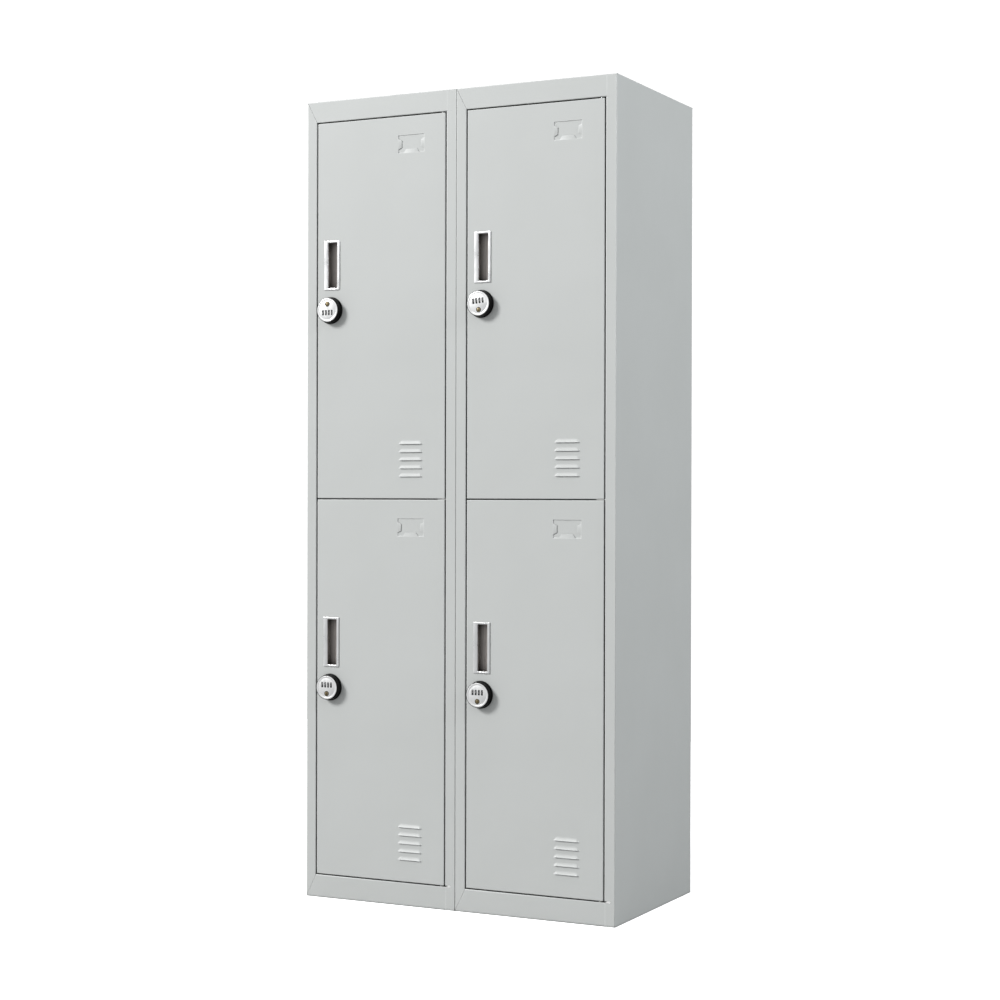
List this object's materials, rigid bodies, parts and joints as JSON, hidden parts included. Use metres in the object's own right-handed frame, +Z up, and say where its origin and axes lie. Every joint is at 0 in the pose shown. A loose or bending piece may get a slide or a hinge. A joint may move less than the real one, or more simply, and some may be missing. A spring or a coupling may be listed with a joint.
{
  "type": "locker cabinet",
  "caption": "Free-standing folded sheet steel locker cabinet: lockers in two bays, each door with louvres, card holder, flush pull and combination cam lock.",
  "frame": {"origin": "on the floor, under the middle of the cabinet's box with its locks", "axes": "+X to the right seen from the front, +Y to the back, +Z up; doors and locks face -Y"},
  "size_m": [0.784, 0.467, 1.85],
  "materials": {
    "body_paint": "light grey powder coat, fine texture, satin",
    "handle_silver": "bright satin",
    "lock_silver": "satin plated",
    "lock_black": "fine matt",
    "wheel_black": "semi-gloss, white figures",
    "key_brass": "turned, slightly dull",
    "zinc_steel": "zinc plated",
    "rail_chrome": "bright tube",
    "socket_plastic": "grey moulded"
  },
  "bodies": {
    "cabinet": {"left_bay_left_side": "body_paint", "left_bay_right_side": "body_paint", "right_bay_left_side": "body_paint", "right_bay_right_side": "body_paint", "top_panels": "body_paint", "bottom_panels": "body_paint", "back_panels": "body_paint", "middle_shelves": "body_paint", "hinge_pivots": "zinc_steel", "joining_bolts": "zinc_steel", "clothes_rails": "rail_chrome", "rail_sockets": "socket_plastic"},
    "upper_left_door": {"upper_left_door": "body_paint", "upper_left_door_stiffener": "body_paint", "upper_left_pull_handle": "handle_silver", "upper_left_lock_base": "lock_black"},
    "upper_left_knob": {"upper_left_lock_knob": "lock_black", "upper_left_lock_face": "lock_silver", "upper_left_lock_cam": "zinc_steel"},
    "upper_left_key": {"upper_left_key_plug": "key_brass"},
    "upper_left_wheel_1": {"upper_left_number_wheel_1": "wheel_black"},
    "upper_left_wheel_2": {"upper_left_number_wheel_2": "wheel_black"},
    "upper_left_wheel_3": {"upper_left_number_wheel_3": "wheel_black"},
    "upper_left_wheel_4": {"upper_left_number_wheel_4": "wheel_black"},
    "lower_left_door": {"lower_left_door": "body_paint", "lower_left_door_stiffener": "body_paint", "lower_left_pull_handle": "handle_silver", "lower_left_lock_base": "lock_black"},
    "lower_left_knob": {"lower_left_lock_knob": "lock_black", "lower_left_lock_face": "lock_silver", "lower_left_lock_cam": "zinc_steel"},
    "lower_left_key": {"lower_left_key_plug": "key_brass"},
    "lower_left_wheel_1": {"lower_left_number_wheel_1": "wheel_black"},
    "lower_left_wheel_2": {"lower_left_number_wheel_2": "wheel_black"},
    "lower_left_wheel_3": {"lower_left_number_wheel_3": "wheel_black"},
    "lower_left_wheel_4": {"lower_left_number_wheel_4": "wheel_black"},
    "upper_right_door": {"upper_right_door": "body_paint", "upper_right_door_stiffener": "body_paint", "upper_right_pull_handle": "handle_silver", "upper_right_lock_base": "lock_black"},
    "upper_right_knob": {"upper_right_lock_knob": "lock_black", "upper_right_lock_face": "lock_silver", "upper_right_lock_cam": "zinc_steel"},
    "upper_right_key": {"upper_right_key_plug": "key_brass"},
    "upper_right_wheel_1": {"upper_right_number_wheel_1": "wheel_black"},
    "upper_right_wheel_2": {"upper_right_number_wheel_2": "wheel_black"},
    "upper_right_wheel_3": {"upper_right_number_wheel_3": "wheel_black"},
    "upper_right_wheel_4": {"upper_right_number_wheel_4": "wheel_black"},
    "lower_right_door": {"lower_right_door": "body_paint", "lower_right_door_stiffener": "body_paint", "lower_right_pull_handle": "handle_silver", "lower_right_lock_base": "lock_black"},
    "lower_right_knob": {"lower_right_lock_knob": "lock_black", "lower_right_lock_face": "lock_silver", "lower_right_lock_cam": "zinc_steel"},
    "lower_right_key": {"lower_right_key_plug": "key_brass"},
    "lower_right_wheel_1": {"lower_right_number_wheel_1": "wheel_black"},
    "lower_right_wheel_2": {"lower_right_number_wheel_2": "wheel_black"},
    "lower_right_wheel_3": {"lower_right_number_wheel_3": "wheel_black"},
    "lower_right_wheel_4": {"lower_right_number_wheel_4": "wheel_black"}
  },
  "joints": [
    {"name": "upper_left_door_swing", "type": "hinge", "parent": "cabinet", "child": "upper_left_door", "pos_m": [-0.0369, -0.2105, 1.36338], "axis": [0, 0, 1], "range_deg": [0, 115]},
    {"name": "upper_left_knob_turn", "type": "hinge", "parent": "upper_left_door", "child": "upper_left_knob", "pos_m": [-0.3281, -0.2165, 1.36338], "axis": [0, 1, 0], "range_deg": [0, 90]},
    {"name": "upper_left_key_turn", "type": "hinge", "parent": "upper_left_knob", "child": "upper_left_key", "pos_m": [-0.3281, -0.2325, 1.37738], "axis": [0, 1, 0], "range_deg": [0, 90]},
    {"name": "upper_left_wheel_1_spin", "type": "hinge", "parent": "upper_left_knob", "child": "upper_left_wheel_1", "pos_m": [-0.3164, -0.2271, 1.35737], "axis": [-1, 0, 0], "continuous": true},
    {"name": "upper_left_wheel_2_spin", "type": "hinge", "parent": "upper_left_knob", "child": "upper_left_wheel_2", "pos_m": [-0.3242, -0.2271, 1.35737], "axis": [-1, 0, 0], "continuous": true},
    {"name": "upper_left_wheel_3_spin", "type": "hinge", "parent": "upper_left_knob", "child": "upper_left_wheel_3", "pos_m": [-0.332, -0.2271, 1.35737], "axis": [-1, 0, 0], "continuous": true},
    {"name": "upper_left_wheel_4_spin", "type": "hinge", "parent": "upper_left_knob", "child": "upper_left_wheel_4", "pos_m": [-0.3398, -0.2271, 1.35737], "axis": [-1, 0, 0], "continuous": true},
    {"name": "lower_left_door_swing", "type": "hinge", "parent": "cabinet", "child": "lower_left_door", "pos_m": [-0.0369, -0.2105, 0.49012], "axis": [0, 0, 1], "range_deg": [0, 115]},
    {"name": "lower_left_knob_turn", "type": "hinge", "parent": "lower_left_door", "child": "lower_left_knob", "pos_m": [-0.3281, -0.2165, 0.49012], "axis": [0, 1, 0], "range_deg": [0, 90]},
    {"name": "lower_left_key_turn", "type": "hinge", "parent": "lower_left_knob", "child": "lower_left_key", "pos_m": [-0.3281, -0.2325, 0.47613], "axis": [0, 1, 0], "range_deg": [0, 90]},
    {"name": "lower_left_wheel_1_spin", "type": "hinge", "parent": "lower_left_knob", "child": "lower_left_wheel_1", "pos_m": [-0.3398, -0.2271, 0.49612], "axis": [1, 0, 0], "continuous": true},
    {"name": "lower_left_wheel_2_spin", "type": "hinge", "parent": "lower_left_knob", "child": "lower_left_wheel_2", "pos_m": [-0.332, -0.2271, 0.49612], "axis": [1, 0, 0], "continuous": true},
    {"name": "lower_left_wheel_3_spin", "type": "hinge", "parent": "lower_left_knob", "child": "lower_left_wheel_3", "pos_m": [-0.3242, -0.2271, 0.49612], "axis": [1, 0, 0], "continuous": true},
    {"name": "lower_left_wheel_4_spin", "type": "hinge", "parent": "lower_left_knob", "child": "lower_left_wheel_4", "pos_m": [-0.3164, -0.2271, 0.49612], "axis": [1, 0, 0], "continuous": true},
    {"name": "upper_right_door_swing", "type": "hinge", "parent": "cabinet", "child": "upper_right_door", "pos_m": [0.3551, -0.2105, 1.36338], "axis": [0, 0, 1], "range_deg": [0, 115]},
    {"name": "upper_right_knob_turn", "type": "hinge", "parent": "upper_right_door", "child": "upper_right_knob", "pos_m": [0.0639, -0.2165, 1.36338], "axis": [0, 1, 0], "range_deg": [0, 90]},
    {"name": "upper_right_key_turn", "type": "hinge", "parent": "upper_right_knob", "child": "upper_right_key", "pos_m": [0.06512, -0.2325, 1.34943], "axis": [0, 1, 0], "range_deg": [0, 90]},
    {"name": "upper_right_wheel_1_spin", "type": "hinge", "parent": "upper_right_knob", "child": "upper_right_wheel_1", "pos_m": [0.05172, -0.2271, 1.36833], "axis": [0.9962, 0, 0.0872], "continuous": true},
    {"name": "upper_right_wheel_2_spin", "type": "hinge", "parent": "upper_right_knob", "child": "upper_right_wheel_2", "pos_m": [0.05949, -0.2271, 1.36901], "axis": [0.9962, 0, 0.0872], "continuous": true},
    {"name": "upper_right_wheel_3_spin", "type": "hinge", "parent": "upper_right_knob", "child": "upper_right_wheel_3", "pos_m": [0.06726, -0.2271, 1.36969], "axis": [0.9962, 0, 0.0872], "continuous": true},
    {"name": "upper_right_wheel_4_spin", "type": "hinge", "parent": "upper_right_knob", "child": "upper_right_wheel_4", "pos_m": [0.07503, -0.2271, 1.37037], "axis": [0.9962, 0, 0.0872], "continuous": true},
    {"name": "lower_right_door_swing", "type": "hinge", "parent": "cabinet", "child": "lower_right_door", "pos_m": [0.3551, -0.2105, 0.49012], "axis": [0, 0, 1], "range_deg": [0, 115]},
    {"name": "lower_right_knob_turn", "type": "hinge", "parent": "lower_right_door", "child": "lower_right_knob", "pos_m": [0.0639, -0.2165, 0.49012], "axis": [0, 1, 0], "range_deg": [0, 90]},
    {"name": "lower_right_key_turn", "type": "hinge", "parent": "lower_right_knob", "child": "lower_right_key", "pos_m": [0.0639, -0.2325, 0.47613], "axis": [0, 1, 0], "range_deg": [0, 90]},
    {"name": "lower_right_wheel_1_spin", "type": "hinge", "parent": "lower_right_knob", "child": "lower_right_wheel_1", "pos_m": [0.0522, -0.2271, 0.49612], "axis": [1, 0, 0], "continuous": true},
    {"name": "lower_right_wheel_2_spin", "type": "hinge", "parent": "lower_right_knob", "child": "lower_right_wheel_2", "pos_m": [0.06, -0.2271, 0.49612], "axis": [1, 0, 0], "continuous": true},
    {"name": "lower_right_wheel_3_spin", "type": "hinge", "parent": "lower_right_knob", "child": "lower_right_wheel_3", "pos_m": [0.0678, -0.2271, 0.49612], "axis": [1, 0, 0], "continuous": true},
    {"name": "lower_right_wheel_4_spin", "type": "hinge", "parent": "lower_right_knob", "child": "lower_right_wheel_4", "pos_m": [0.0756, -0.2271, 0.49612], "axis": [1, 0, 0], "continuous": true}
  ]
}
